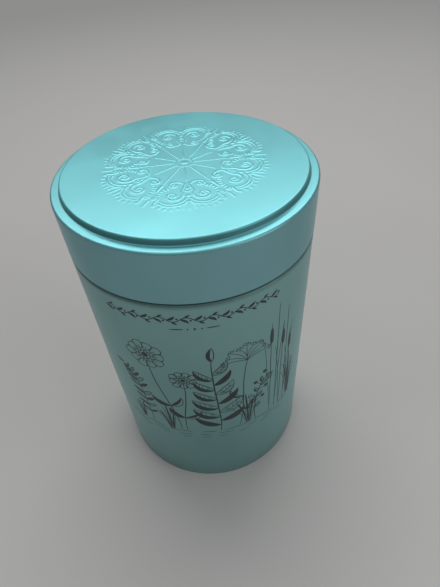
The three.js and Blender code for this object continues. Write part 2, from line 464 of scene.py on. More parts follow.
def relief_ring(ridges, sectors, radius, angles):
    """Height of the scrollwork round one ring, as a share of its full height.

    Each point is folded into one half sector. A ridge is (1 - (d / w)^2)^2 across its centreline, where d
    is the distance and w the half width, and the highest ridge counts.
    """
    sector = 2 * math.pi / sectors
    folded = np.abs((angles + sector / 2) % sector - sector / 2)
    u, v = radius * np.sin(folded) / MM, radius * np.cos(folded) / MM
    field = np.zeros(len(angles))
    for centreline, widths, strength in ridges:
        near = nearest_ratio(u, v, centreline, widths)
        field = np.maximum(field, strength * (1 - near**2) ** 2)
    return field


def nearest_ratio(u, v, centreline, widths):
    """Smallest distance over half width to the centreline's samples, 1 or more where far from all."""
    low = centreline.min(axis=0) - widths.max()
    high = centreline.max(axis=0) + widths.max()
    close = (u > low[0]) & (u < high[0]) & (v > low[1]) & (v < high[1])
    near = np.ones(u.shape)
    if close.any():
        du = u[close][:, None] - centreline[:, 0]
        dv = v[close][:, None] - centreline[:, 1]
        near[close] = np.minimum((np.sqrt(du**2 + dv**2) / widths).min(axis=1), 1.0)
    return near


# Printed strokes on the side. Lengths are in millimetres, s round the wall and z up.

THINNEST = 0.08  # the narrowest that the tip of a filled shape gets
STEM_TOP = 0.99  # share of a stem's points at which its head stands
FRIEZES = (-4, 116, -124)  # degrees round the wall to the middle of each frieze
SOIL = 50.0  # height that the plants stand at


def swelling(t, fullness=0.75):
    """Breadth along a leaf: sin(pi t^0.85) to the power of the fullness, most a little past the middle."""
    return np.clip(np.sin(math.pi * t**0.85), 0, 1) ** fullness


class Pen:
    """Collects ribbons of ink: each has a centreline in (s, z), a width at every point of it, and a number
    of points across."""

    def __init__(self, settings):
        self.line = settings.line / MM
        self.thin = settings.thin_line / MM
        self.random = np.random.default_rng(settings.seed)
        self.ribbons = []

    def stroke(self, points, width=None, taper=0.3, wobble=0.1):
        """A pen line whose ends narrow to the taper and whose path wavers a little: both ways by the sum of
        a slow sine and half a quick one, each with a phase of its own."""
        points = np.asarray(points, float)
        width = self.line if width is None else width
        t = np.linspace(0.0, 1.0, len(points))
        swell = taper + (1 - taper) * np.sin(math.pi * (0.02 + 0.96 * t)) ** 0.5
        phase = self.random.uniform(0, 2 * math.pi, 4)
        waver = [
            np.sin(slow * t + phase[i]) + 0.5 * np.sin(quick * t + phase[i + 1])
            for i, slow, quick in ((0, 9, 23), (2, 8, 21))
        ]
        self.ribbons.append((points + wobble * np.column_stack(waver), width * swell, 2))

    def blade(self, spine, breadth, fullness=0.75, across=5):
        """A filled leaf about its spine, pointed at both ends."""
        spine = np.asarray(spine, float)
        width = breadth * swelling(np.linspace(0.0, 1.0, len(spine)), fullness)
        self.ribbons.append((spine, np.maximum(width, THINNEST), across))

    def leaf(self, base, tip, breadth, fill, curl, veins=0):
        """A leaf with a bent midrib: outlined, wholly filled, or with one half filled."""
        base, tip = np.asarray(base, float), np.asarray(tip, float)
        along = tip - base
        left_side = -right_of(along)
        bend = left_side * curl
        spine = bezier(base, base + along / 3 + bend, base + along * 2 / 3 + bend, tip, 13)
        if fill == "all":
            self.blade(spine, breadth)
            return
        half = swelling(np.linspace(0.0, 1.0, len(spine))[:, None]) * breadth / 2
        left, right = spine + half * unit(left_side), spine - half * unit(left_side)
        self.stroke(right, wobble=0.03)
        if fill == "half":
            self.ribbons.append(((left + spine) / 2, np.maximum(half[:, 0], THINNEST), 4))
        else:
            self.stroke(left, wobble=0.03)
        self.stroke(spine[:-2], self.thin, wobble=0.02)
        for i in range(veins):
            k = 2 + i * (len(spine) - 6) // veins
            reach = min(k + 2, len(spine) - 1)
            for edge in (right, left) if fill == "none" else (right,):
                end = 0.85 * edge[reach] + 0.15 * spine[reach]
                self.stroke(np.linspace(spine[k], end, 3), self.thin, wobble=0)

    def leaf_on(self, stem, t, turn, reach, breadth, fill, curl, veins=0):
        """A leaf that leaves the stem at the share t of its points, turned from it by that many degrees."""
        at, direction = stem_point(stem, t)
        self.leaf(at, at + turned_by(direction, turn) * reach, breadth, fill, curl, veins)

    def dot(self, centre, radius):
        """A filled round berry: a ribbon as broad as the circle at each of its points."""
        t = -np.cos(np.linspace(0.0, math.pi, 9))
        width = 2 * radius * np.sqrt(np.clip(1 - t**2, 0.01, 1))
        self.ribbons.append((points_at(centre[0], centre[1] + radius * t), width, 3))

    def ring(self, centre, radius):
        """A drawn circle that overshoots its start a little."""
        self.stroke(arc(centre, radius, start=0.2, turn=2 * math.pi + 0.25, steps=17), wobble=0.04)


def stem_point(stem, t):
    """The point and unit direction of a stem at the share t of its points."""
    i = min(int(t * (len(stem) - 1)), len(stem) - 2)
    return stem[i], unit(stem[i + 1] - stem[i])


def stem_curve(foot, head, sway):
    """A stem from the foot to the head in a gentle S as wide as the sway."""
    foot, head = np.asarray(foot, float), np.asarray(head, float)
    up = head - foot
    side = unit(right_of(up)) * sway
    return bezier(foot, foot + up / 3 + side, foot + up * 2 / 3 - side, head, 32)


def arching_stem(foot, head, lean):
    """A stem that starts upright, with that much lean, and bends over towards its head."""
    foot, head = np.asarray(foot, float), np.asarray(head, float)
    up = head - foot
    return bezier(foot, foot + (lean, up[1] * 0.5), foot + (up[0] * 0.2, up[1] * 0.95), head, 36)


def broad_plant(pen, foot, head, pairs, leaf):
    """A tall plant whose large leaves stand in pairs, the lower ones dark and the upper ones outlined."""
    stem = stem_curve(foot, head, sway=2.2)
    pen.stroke(stem, pen.line * 1.5)
    for i in range(2 * pairs):
        t = 0.10 + 0.80 * i / (2 * pairs)
        side = 1 if i % 2 else -1
        reach = leaf * (1.0 - 0.42 * t) * pen.random.uniform(0.94, 1.08)
        fill = ("half", "all", "half", "none")[i % 4] if i > 1 else "all"
        slim, veins = (0.27, 0) if fill == "all" else (0.36, 4)
        pen.leaf_on(stem, t, side * (60 - 24 * t), reach, reach * slim, fill, -0.17 * side, veins)
    pen.leaf_on(stem, STEM_TOP, 0, leaf * 0.55, leaf * 0.2, "half", 0.1)


def seed_umbel(pen, foot, head, rays, radius):
    """A bare stem whose head is a fan of fine rays, each with four small seeds at its end."""
    stem = stem_curve(foot, head, sway=1.8)
    pen.stroke(stem, pen.line * 1.1)
    top = stem[-1]
    for i in range(rays):
        lean = -80 + 160 * i / (rays - 1)
        out = turned_by(UP, lean)
        tip = top + out * radius * (1.0 - 0.12 * (i % 2)) * pen.random.uniform(0.95, 1.04)
        bow = right_of(out) * radius * 0.14 * np.sign(lean)
        third = (tip - top) / 3
        pen.stroke(bezier(top, top + third - bow, tip - third - bow, tip, 14), pen.thin, wobble=0.03)
        for spoke in (turned_by(out, degrees) for degrees in (-55, -18, 18, 55)):
            pen.stroke((tip, tip + spoke * 1.5), pen.thin, wobble=0)
            pen.dot(tip + spoke * 1.7, 0.36)
    for t, side in ((0.28, 1), (0.50, -1)):
        at, _ = stem_point(stem, t)
        pen.leaf(at, at + (side * 6.0, 8.0), 2.2, "half", -0.25 * side)


def round_bloom(pen, foot, head, petals, radius, sway, leaves):
    """A large flower: rounded petals with fine centre lines round a dotted eye, and two leaves below."""
    stem = stem_curve(foot, head, sway)
    pen.stroke(stem, pen.line * 1.2)
    at, direction = stem_point(stem, STEM_TOP)
    eye = at + direction * radius * 0.55
    for i in range(petals):
        out = turned_by(UP, 360 * (i + 0.5) / petals)
        start = eye + out * radius * 0.36
        end = eye + out * radius * (1.0 if i % 2 else 0.92)
        middle = start + (end - start) * 0.55
        wide = right_of(out) * radius * 0.34
        for edge in (wide, -wide):
            pen.stroke(bezier(start, middle + edge, end + edge * 0.9, end, 10), wobble=0.02)
        pen.stroke(np.linspace(start, start + (end - start) * 0.5, 3), pen.thin, wobble=0)
    pen.ring(eye, radius * 0.31)
    pen.dot(eye, radius * 0.17)
    for i in range(9):
        pen.dot(eye + turned_by(UP, 40 * i) * radius * 0.245, radius * 0.035)
    for side, fill in ((1, "half"), (-1, "all")):
        pen.leaf_on(stem, leaves, side * 48, 10.0, 3.2, fill, -0.22 * side)


def reeds(pen, foot, heights, gap):
    """Tall upright reeds, every other one with a long dark head, and a thin blade beside each."""
    for i, height in enumerate(heights):
        x, z = foot[0] + gap * i, foot[1]
        top = x + 0.8 * math.sin(i)
        pen.stroke(stem_curve((x, z), (top, height), sway=0.5), pen.line * 0.9)
        if i % 2 == 0:
            pen.blade(np.linspace((top, height - 13), (top, height - 3), 12), 1.9, fullness=0.35)
        lean = 1 if i % 2 else -1
        bends = (x, z), (x + lean, z + 18), (x + 2 * lean, height * 0.8), (x + 4 * lean, height * 0.9)
        pen.stroke(bezier(*bends, 16), pen.thin)


def fern(pen, foot, head, leaflets, reach):
    """An arching frond whose leaflets to both sides grow smaller towards its tip."""
    stem = arching_stem(foot, head, lean=0)
    pen.stroke(stem, pen.line)
    for i in range(leaflets):
        t = 0.16 + 0.80 * i / leaflets
        size = reach * math.sin(math.pi * (0.15 + 0.8 * t)) ** 0.8
        fills = ("none", "all") if i % 2 else ("all", "none")
        for turn, fill in zip((58, -58), fills):
            pen.leaf_on(stem, t, turn, size, size * 0.34, fill, 0.0)
    pen.leaf_on(stem, STEM_TOP, 0, reach * 0.7, reach * 0.22, "all", 0.05)


def berry_spray(pen, foot, head, twigs, size):
    """An arching branch whose side twigs end in berries, with small leaves between them."""
    stem = arching_stem(foot, head, lean=-2)
    pen.stroke(stem, pen.line * 1.2)
    for i in range(twigs):
        t = 0.25 + 0.72 * i / twigs
        at, direction = stem_point(stem, t)
        side = 1 if i % 2 else -1
        out = turned_by(direction, 58 * side)
        tip = at + out * size * pen.random.uniform(0.9, 1.15)
        pen.stroke(bezier(at, at + direction * 1.2, tip - out, tip, 10), pen.thin, wobble=0.02)
        berry = pen.ring if i % 3 == 2 else pen.dot
        berry(tip, 1.05)
        pen.leaf_on(stem, t, -40 * side, size * 0.95, 1.8, "half" if i % 2 else "none", 0.14 * side)


def grass(pen, at, blades, height, spread=0.55):
    """A tuft of long blades that lean apart from one foot, every other one filled."""
    for i in range(blades):
        lean = -0.5 + i / (blades - 1)
        tall = height * (1 - 0.6 * abs(lean)) * pen.random.uniform(0.85, 1.1)
        tip = np.array([lean * height * spread, tall])
        blade = bezier((0.35 * i, 0), (0.35 * i + lean * 2, tall * 0.5), tip * (0.7, 0.9), tip, 12) + at
        if i % 2:
            pen.blade(blade, 0.9, fullness=0.5, across=3)
        else:
            pen.stroke(blade, pen.thin)


def ground(pen, start, stop, z):
    """Three rows of broken, slightly wavy lines, which get shorter and thinner downward."""
    for row, (drop, reach) in enumerate(((0.0, 10.0), (2.6, 7.0), (5.2, 5.0))):
        level = z - drop
        left = start + 3.0 * row
        while left < stop - 3.0 * row:
            right = left + reach * pen.random.uniform(0.7, 1.2)
            rise = pen.random.uniform(-0.9, 0.9)
            bends = (left, level), (left + 2, level + rise), (right - 2, level - rise), (right, level)
            pen.stroke(bezier(*bends, 9), pen.thin * (1.3 if row == 0 else 1.0), wobble=0.05)
            left = right + reach * pen.random.uniform(0.15, 0.5) * (1 + row)


def vine_border(pen, start, stop, z, height):
    """A running vine: its stem is a sine wave with a dark leaf in every bend and a berry opposite."""
    waves = round((stop - start) / (height * 2.1))
    wave = (stop - start) / waves
    s = np.linspace(start, stop, 12 * waves)
    swing = 0.26 * height
    stem = points_at(s, z + swing * np.sin(2 * math.pi * (s - start) / wave))
    pen.stroke(stem, pen.line * 0.95, taper=0.6, wobble=0.02)
    for i in range(2 * waves):
        side = -1 if i % 2 else 1
        foot = np.array([start + wave * 0.5 * i, z])
        for base, tip, breadth, curl in (
            ((0.04 * wave, 0.0), (0.33 * wave, -side * 0.42 * height), 0.27, 0.16),
            ((0.20 * wave, side * swing * 0.95), (0.40 * wave, side * 0.52 * height), 0.19, 0.10),
        ):
            pen.leaf(foot + base, foot + tip, height * breadth, "all", curl * side)
        pen.dot(foot + (0.40 * wave, -side * 0.10 * height), height * 0.095)


def small_row(pen, middle, z, height):
    """Three lozenges between two pointed dashes."""
    t = np.linspace(-1, 1, 9)
    for shift, half in ((-0.9, 0.36), (0.0, 0.5), (0.9, 0.36)):
        size = height * half
        spine = points_at(middle + shift * height * 1.9, z + size * t)
        pen.ribbons.append((spine, np.maximum(1.3 * size * (1 - np.abs(t)), 0.75 * THINNEST), 3))
    for near, far in ((-2.7, -6.2), (2.7, 6.2)):
        spine = np.linspace((middle + near * height, z), (middle + far * height, z), 12)
        pen.blade(spine, height * 0.34, fullness=0.6, across=3)


def draw_side(pen, wall):
    """The friezes round the wall: a border under the lid and plants standing on a ground line."""
    per_degree = wall * math.pi / 180
    for middle in FRIEZES:
        at = middle * per_degree
        vine_border(pen, at - 34.0, at + 34.0, z=129.4, height=4.4)
        small_row(pen, at, z=124.4, height=1.5)
        fern(pen, (at - 28.0, SOIL), (at - 37.0, 92.0), leaflets=9, reach=6.2)
        round_bloom(pen, (at - 13.0, SOIL), (at - 22.0, 103.0), petals=10, radius=8.6, sway=3.0, leaves=0.40)
        round_bloom(pen, (at - 10.5, SOIL), (at - 8.0, 90.0), petals=9, radius=6.2, sway=-1.5, leaves=0.30)
        broad_plant(pen, (at + 5.5, SOIL - 1), (at + 4.5, 106.0), pairs=6, leaf=15.5)
        seed_umbel(pen, (at + 15.0, SOIL), (at + 19.0, 99.0), rays=9, radius=9.5)
        reeds(pen, (at + 31.0, SOIL), heights=(114.0, 122.0, 108.0, 117.0, 101.0), gap=3.2)
        berry_spray(pen, (at + 23.0, SOIL - 1), (at + 31.0, 82.0), twigs=7, size=4.4)
        grass(pen, (at - 19.0, SOIL - 1), blades=7, height=20.0)
        grass(pen, (at + 18.0, SOIL - 1), blades=7, height=24.0)
        grass(pen, (at + 43.5, SOIL), blades=7, height=34.0, spread=0.36)
        grass(pen, (at - 34.0, SOIL), blades=5, height=16.0)
        ground(pen, at - 42.0, at + 44.0, z=SOIL - 1)


def ribbon_mesh(ribbons, inner, outer):
    """All ribbons as thin closed bars bent round the wall, between the inner and the outer radius.

    A ribbon's points are moved to both sides along its normal, in equal steps across its width, and the
    arc length s becomes the angle s / radius.
    """
    vertices, quads, total = [], [], 0
    for spine, width, columns in ribbons:
        normal = -right_of(unit(np.gradient(spine, axis=0)))
        aside = width[:, None] * np.linspace(-0.5, 0.5, columns)
        flat = spine[:, None, :] + normal[:, None, :] * aside[:, :, None]
        front = round_z(outer, flat[..., 1] * MM, flat[..., 0] * MM / outer)
        back = front * (inner / outer, inner / outer, 1.0)
        points = np.concatenate([front, back[:, ::-1]], axis=1).reshape(-1, 3)
        left, around = np.arange(columns - 1), 2 * columns
        cap = np.column_stack([left, left + 1, around - 2 - left, around - 1 - left])
        last = cap + (len(spine) - 1) * around
        faces = np.vstack([tube_faces(len(spine), around), cap[:, ::-1], last])
        quads.append(total + outward(points, faces))
        vertices.append(points)
        total += len(points)
    return np.vstack(vertices), np.vstack(quads)


# Materials. A noise's scale is in features to the metre, and a bump's distance is in metres.

MIX_COLOURS, MIXED_COLOUR = (6, 7), 2  # sockets of the Mix node that take and give colours


class Nodes:
    """Adds nodes to a node tree and links them, for the finishes and the sky."""

    def __init__(self, tree):
        self.tree = tree

    def add(self, kind, inputs=None, **settings):
        node = self.tree.nodes.new(kind)
        for name, value in settings.items():
            setattr(node, name, value)
        for name, value in (inputs or {}).items():
            self.put(node.inputs[name], value)
        return node

    def put(self, socket, value):
        if isinstance(value, bpy.types.NodeSocket):
            self.tree.links.new(value, socket)
        else:
            socket.default_value = value

    def maths(self, operation, first, second=0.0):
        return self.add("ShaderNodeMath", {0: first, 1: second}, operation=operation).outputs[0]

    def mix(self, share_of_second, first, second):
        node = self.add("ShaderNodeMix", {"Factor": share_of_second}, data_type="RGBA")
        for place, value in zip(MIX_COLOURS, (first, second)):
            self.put(node.inputs[place], value if isinstance(value, bpy.types.NodeSocket) else (*value, 1.0))
        return node.outputs[MIXED_COLOUR]

    def seen_rays(self):
        """1 for rays that come from the camera, a glossy surface or through glass, and 0 for all others."""
        path = self.add("ShaderNodeLightPath").outputs
        either = self.maths("MAXIMUM", path["Is Camera Ray"], path["Is Glossy Ray"])
        return self.maths("MAXIMUM", either, path["Is Transmission Ray"])


class Shader(Nodes):
    """The nodes of one new material."""

    def __init__(self, name):
        self.material = bpy.data.materials.new(name)
        self.material.use_nodes = True
        super().__init__(self.material.node_tree)
        self.surface = self.tree.nodes["Principled BSDF"]

    def set(self, **values):
        for name, value in values.items():
            self.put(self.surface.inputs[name.replace("_", " ")], value)

    def place(self, scale=(1, 1, 1)):
        """The piece's own coordinates in metres, stretched by the scale."""
        coordinates = self.add("ShaderNodeTexCoord").outputs["Object"]
        return self.add("ShaderNodeMapping", {"Vector": coordinates, "Scale": scale}).outputs[0]

    def axes(self, vector):
        return self.add("ShaderNodeSeparateXYZ", {0: vector}).outputs

    def mark(self, name):
        """The attribute of that name on the piece's points."""
        return self.add("ShaderNodeAttribute", attribute_name=name).outputs["Fac"]

    def noise(self, vector, scale, detail=2.0, roughness=0.5):
        inputs = {"Vector": vector, "Scale": scale, "Detail": detail, "Roughness": roughness}
        return self.add("ShaderNodeTexNoise", inputs).outputs["Fac"]

    def band(self, value, low, high, to_low=0.0, to_high=1.0):
        """The value spread from one range to another and held inside it."""
        inputs = {"Value": value, "From Min": low, "From Max": high, "To Min": to_low, "To Max": to_high}
        return self.add("ShaderNodeMapRange", inputs).outputs["Result"]

    def bump(self, height, distance, over=None):
        """Normals of the bumps, which may lie over coarser ones."""
        inputs = {"Height": height, "Distance": distance} | ({} if over is None else {"Normal": over})
        return self.add("ShaderNodeBump", inputs).outputs["Normal"]


def enamel_material(finish, name, tone, upright_tone, lap=0.0):
    """Satin enamel that drifts a little in tone, with faint smudges, rubbed bends and painted shade."""
    shader = Shader(name)
    here = shader.place()
    drift = shader.noise(here, scale=22.0, detail=3.0)
    grain = shader.noise(here, scale=1500.0, roughness=0.6)
    smudge = shader.noise(here, scale=60.0, detail=4.0, roughness=0.6)
    rub = shader.noise(here, scale=420.0, detail=3.0, roughness=0.7)
    peel = shader.noise(here, scale=500.0)
    # Painted shade: this mark darkens the enamel in the joint, under the lid's edge, on the riser and at the
    # foot.
    crevice = shader.mark("crevice")
    # Painted shade too: upright faces take the duller, darker upright tone.
    paint = shader.mix(shader.mark("upright"), tone, upright_tone)
    paint = shader.mix(shader.band(drift, 0.35, 0.65, 0.0, finish.drift), paint, (0.0, 0.0, 0.0))
    paint = shader.mix(crevice, paint, finish.crevice)
    worn = shader.maths("MULTIPLY", shader.mark("edge_wear"), shader.band(rub, 0.66, 0.78))
    if lap > 0:
        worn = shader.maths("MAXIMUM", worn, lap_strip(shader, here, lap))
    shader.set(Base_Color=shader.mix(worn, paint, finish.tinplate))
    sheen = shader.maths("MULTIPLY", shader.maths("SUBTRACT", 1.0, crevice), finish.enamel_sheen)
    shader.set(Metallic=shader.maths("MAXIMUM", worn, sheen))
    gloss = shader.band(smudge, 0.35, 0.7, finish.enamel_gloss, finish.enamel_gloss + 0.08)
    shader.set(Roughness=shader.maths("MAXIMUM", gloss, shader.maths("MULTIPLY", crevice, 0.8)))
    shader.set(Coat_Weight=finish.coat, Coat_Roughness=finish.coat_roughness)
    shader.set(Specular_Tint=(*finish.edge_tint, 1.0))
    shader.set(Normal=shader.bump(grain, 0.0000015, over=shader.bump(peel, 0.000004)))
    return shader.material


def lap_strip(shader, here, half_width):
    """1 on the unprinted strip along the side lap at the back of the wall, and 0 elsewhere."""
    x, y, _ = shader.axes(here)
    inside = shader.maths("LESS_THAN", shader.maths("ABSOLUTE", x), half_width)
    return shader.maths("MULTIPLY", inside, shader.maths("GREATER_THAN", y, 0.0))


def tinplate_material(finish, name, grain_scale):
    """Lacquered tinplate with fine rolling lines, small dull patches and a faint warm tone."""
    shader = Shader(name)
    rolled = shader.noise(shader.place(grain_scale), scale=40.0, detail=4.0, roughness=0.65)
    patches = shader.noise(shader.place(), scale=70.0, detail=4.0, roughness=0.6)
    warm = np.multiply(finish.tinplate, (0.95, 0.91, 0.84))
    shader.set(Base_Color=shader.mix(shader.band(patches, 0.4, 0.7), finish.tinplate, warm), Metallic=1.0)
    gloss = shader.band(rolled, 0.3, 0.7, finish.tinplate_gloss, finish.tinplate_gloss + 0.14)
    dull = shader.band(patches, 0.45, 0.75, 0.0, 0.08)
    shader.set(Roughness=shader.maths("ADD", gloss, dull), Normal=shader.bump(rolled, 0.000006))
    return shader.material


def ink_material(settings):
    """Flat satin ink that is a little thinner here and there."""
    shader = Shader("line_print_ink")
    here = shader.place()
    thin = np.multiply(settings.ink, (2.2, 2.4, 2.4))
    cover = shader.band(shader.noise(here, scale=900.0, detail=3.0, roughness=0.6), 0.5, 0.8)
    shader.set(Base_Color=shader.mix(cover, settings.ink, thin))
    shader.set(Roughness=shader.band(shader.noise(here, scale=400.0), 0.3, 0.7, 0.42, 0.52))
    shader.set(Normal=shader.bump(shader.noise(here, scale=1500.0), 0.000004))
    return shader.material


def floor_material(settings):
    """A pale floor with a faint drift in tone. As it is seen, it fades into the backdrop where it is far
    away, and a painted pool of light makes it paler in front of the tin, which glossy rays see as well."""
    shader = Shader("pale_floor")
    here = shader.place()
    seen = shader.seen_rays()
    deeper = np.multiply(settings.floor, 0.96)
    tone = shader.mix(shader.noise(here, scale=6.0, detail=3.0), settings.floor, deeper)
    forward = shader.axes(here)["Y"]
    # Painted light: an emitted glow on the floor in front of the tin, seen by camera, glossy and transmission
    # rays.
    ahead = shader.band(forward, -settings.front_far, -settings.front_near, settings.floor_front, 0.0)
    shader.set(Base_Color=tone, Roughness=0.7, Emission_Color=(1.0, 1.0, 1.0, 1.0))
    shader.set(Emission_Strength=shader.maths("MULTIPLY", ahead, seen))
    distance = shader.add("ShaderNodeVectorMath", {0: here}, operation="LENGTH").outputs["Value"]
    far = shader.maths("MULTIPLY", shader.band(distance, settings.floor_near, settings.floor_far), seen)
    glow = shader.add("ShaderNodeEmission", {"Color": (*settings.backdrop, 1.0)})
    fade = shader.add("ShaderNodeMixShader", {0: far, 1: shader.surface.outputs[0], 2: glow.outputs[0]})
    shader.put(shader.tree.nodes["Material Output"].inputs["Surface"], fade.outputs[0])
    return shader.material


# Operators

LENGTHWISE = (1, 1, 14)  # stretch of the rolled grain inside the lid and the wall
CROSSWISE = (14, 1, 1)  # the same on the base plate
COLUMNS = 300  # round the lid and the wall; the relief has twice as many, the lid's inside half
BASE_COLUMNS = 240
FLOOR_RADIUS, FLOOR_RINGS, FLOOR_COLUMNS = 12.0, 13, 48
LAMP_AIM = 0.1  # height on the tin's axis that the lamps face
CLIP_START = 5 * MM
TOP_MARGIN = 0.01 * MM  # between the embossing's highest points and the top of the frame
PRINT_MARGIN = 0.005 * MM  # between the ink's outer face and the frame's radius
INMOST_RING, INMOST_BACK_RING = 0.7 * MM, 1.0 * MM
COARSER = 1.3  # how much wider the relief's rings are where it has the fewer columns
LEDGE_BEND = 8 * MM
CURL_STEPS = 34
STIFFENER_BEND = 0.6 * MM
# In widths of the side lap: half of the unprinted strip, the groove, and the lap's edge, outer side first
BARE_STRIP, GROOVE, LAP_EDGE = 0.55, 0.22, (0.55, 0.45)
LAP_COLUMNS = 33
PAINT_EDGE = 0.4 * MM  # how far the wall's enamel reaches up under the lid

# Where the painted shade starts and where it is full: inward from the outer radius on the hem and on the
# neck, either side of the riser's middle, up from the ledge, below the neck's foot and above the floor
HEM_DARK = 0.15 * MM, 0.40 * MM
NECK_DARK = 0.35 * MM, 0.80 * MM
NECK_DARK_DEPTH = 3 * MM
RISER_DARK = 0.78 * MM, 0.18 * MM
LEDGE_DARK = 0.2 * MM
JOINT_DARK = 2.6 * MM, 0.8 * MM
FOOT_DARK = 2.6 * MM, 0.0


class TinOperator(bpy.types.Operator):
    """Common part of the operators."""

    bl_options = {"REGISTER", "UNDO"}


class TIN_OT_studio(TinOperator):
    """Place the camera, the floor and the lamps"""

    bl_idname = "tin.studio"
    bl_label = "Studio"

    def execute(self, context):
        settings = context.scene.tin_studio
        self.camera(context, settings)
        self.floor(settings)
        self.lamp("window_lamp", settings.window_watts, place=(0.02, 0.90, 1.17), sides=(1.8, 0.76))
        self.lamp("ceiling_lamp", settings.ceiling_watts, place=(0.03, -0.10, 1.90), sides=(2.4, 2.4))
        self.lamp("front_lamp", settings.front_watts, place=(0.95, -0.75, 0.55), sides=(0.9, 0.9))
        self.sky(context, settings)
        context.scene.view_settings.view_transform = "Standard"
        return {"FINISHED"}

    def sky(self, context, settings):
        """A weak, faintly cool even light, seen as the pale backdrop."""
        world = bpy.data.worlds.new("even_sky")
        context.scene.world = world
        world.use_nodes = True
        nodes = Nodes(world.node_tree)
        light = np.multiply(settings.sky, (0.93, 0.97, 1.0))
        tone = nodes.mix(nodes.seen_rays(), light, settings.backdrop)
        nodes.put(nodes.tree.nodes["Background"].inputs["Color"], tone)

    def camera(self, context, settings):
        """Level axes first turned by the yaw and pitch, then rolled about the line of sight."""
        yaw, pitch, roll = settings.camera_yaw, settings.camera_pitch, settings.camera_roll
        ahead = Vector((math.sin(yaw) * math.cos(pitch), math.cos(yaw) * math.cos(pitch), math.sin(pitch)))
        level = ahead.cross(Vector((0, 0, 1))).normalized()
        above = level.cross(ahead)
        right = level * math.cos(roll) + above * math.sin(roll)
        up = -level * math.sin(roll) + above * math.cos(roll)
        data = bpy.data.cameras.new("camera")
        data.lens = settings.lens
        data.clip_start = CLIP_START
        camera = placed("camera", data)
        axes = Matrix((right, up, -ahead)).transposed().to_4x4()
        camera.matrix_world = Matrix.Translation((0.0, -settings.camera_back, settings.camera_height)) @ axes
        context.scene.camera = camera

    def floor(self, settings):
        """A round floor. Its rings' radii grow with the square of their number: finest under the tin."""
        radii = FLOOR_RADIUS * np.linspace(0.0, 1.0, FLOOR_RINGS) ** 2
        points = round_z(radii[:, None], 0.0, even_angles(FLOOR_COLUMNS)).reshape(-1, 3)
        quads = tube_faces(FLOOR_RINGS, FLOOR_COLUMNS)
        quads = np.where(quads < FLOOR_COLUMNS, 0, quads)[:, ::-1]
        floor = new_piece("studio_floor", points, quads, [floor_material(settings)], smooth=False)

    def lamp(self, name, watts, place, sides):
        """A soft rectangular lamp that faces the middle of the tin, its first side level."""
        data = bpy.data.lights.new(name, "AREA")
        data.shape = "RECTANGLE"
        data.size, data.size_y = sides
        data.energy = watts
        towards = Vector((0, 0, LAMP_AIM)) - Vector(place)
        turn = towards.to_track_quat("-Z", "Y").to_matrix().to_4x4()
        placed(name, data).matrix_world = Matrix.Translation(place) @ turn


class TIN_OT_lid(TinOperator):
    """Build the lid with its embossed panel"""

    bl_idname = "tin.lid"
    bl_label = "Lid"

    def execute(self, context):
        sizes, relief = context.scene.tin_sheets, context.scene.tin_relief
        finish = context.scene.tin_finish
        panel = LID_HIGH.z - sizes.relief_height - TOP_MARGIN
        ledge = LID_LOW.z + sizes.skirt_depth
        foot = OUTER_RADIUS - sizes.ledge_width
        outer, inner = self.faces(sizes, relief, panel, ledge, foot)
        under = panel - sizes.sheet
        fine, plain, coarse = (even_angles(columns) for columns in (2 * COLUMNS, COLUMNS, COLUMNS // 2))
        ridges = scroll_ridges(relief)

        def rings(radius, height, is_outside):
            relieved = radius < relief.reach + SAME and height > under - SAME
            if is_outside:
                return fine if relieved and radius > relief.fine_from else plain
            return plain if relieved else coarse

        def shape(radius, height, angles, is_outside):
            lift = np.zeros((len(angles), 3))
            if abs(height - (panel if is_outside else under)) < SAME:
                lift[:, 2] = sizes.relief_height * relief_ring(ridges, relief.sectors, radius, angles)
            return lift

        radii, heights = np.vstack([outer, inner[::-1]]).T
        # Painted shade on the lid: under the hem where the lid meets the wall, and on the riser, which faces
        # away from the light.
        hem = ramp(OUTER_RADIUS - radii, *HEM_DARK) * (heights < LID_LOW.z + sizes.hem_height)
        riser = ramp(np.abs(radii - foot + sizes.riser_lean / 2), *RISER_DARK)
        riser *= ramp(heights, panel, panel - sizes.panel_bend) * ramp(heights, ledge, ledge + LEDGE_DARK)
        marks = {
            "crevice": np.maximum(hem, finish.riser_shade * riser),
            # The skirt is marked upright, so it takes the duller tone painted for its shade.
            "upright": ramp(heights, ledge, ledge - sizes.corner_bend) * (radii > foot),
        }
        enamel = enamel_material(finish, "satin_mint_enamel_lid", finish.mint, finish.skirt_mint)
        materials = [enamel, tinplate_material(finish, "lid_inside_tinplate", LENGTHWISE)]
        piece = turned_sheet("lid_shell", outer, inner, rings, materials, shape=shape, marks=marks)
        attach(piece, "lid_body")
        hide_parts("lid")
        return {"FINISHED"}

    def faces(self, sizes, relief, panel, ledge, foot):
        """The lid's outer and inner face as paths from the axis."""
        hem = OUTER_RADIUS - 2 * sizes.hem_bend
        rest = rounded_path(
            (relief.reach + relief.ring_step, panel, 0),
            (foot - sizes.riser_lean, panel, sizes.panel_bend),
            (foot, ledge, sizes.foot_bend),
            (foot + sizes.ledge_flat, ledge, LEDGE_BEND),
            (OUTER_RADIUS, ledge - sizes.ledge_fall, sizes.corner_bend),
            (OUTER_RADIUS, LID_LOW.z, sizes.hem_bend),
            (hem, LID_LOW.z, sizes.hem_bend),
            (hem, LID_LOW.z + sizes.hem_height, 0),
        )
        back = other_face(rest, sizes.sheet)
        coarse = self.radii(INMOST_RING, relief.fine_from, relief.ring_step * COARSER)
        fine = self.radii(relief.fine_from, relief.reach, relief.ring_step)
        top = np.concatenate([[0.0], coarse, fine])
        below = np.concatenate([[0.0], self.radii(INMOST_BACK_RING, relief.reach, relief.back_ring_step)])
        outer = np.vstack([points_at(top, panel), filled_in(rest)])
        return outer, np.vstack([points_at(below, panel - sizes.sheet), filled_in(back)])

    def radii(self, start, stop, step):
        """Even radii from the start up to just before the stop."""
        return np.linspace(start, stop, math.ceil((stop - start) / step), endpoint=False)


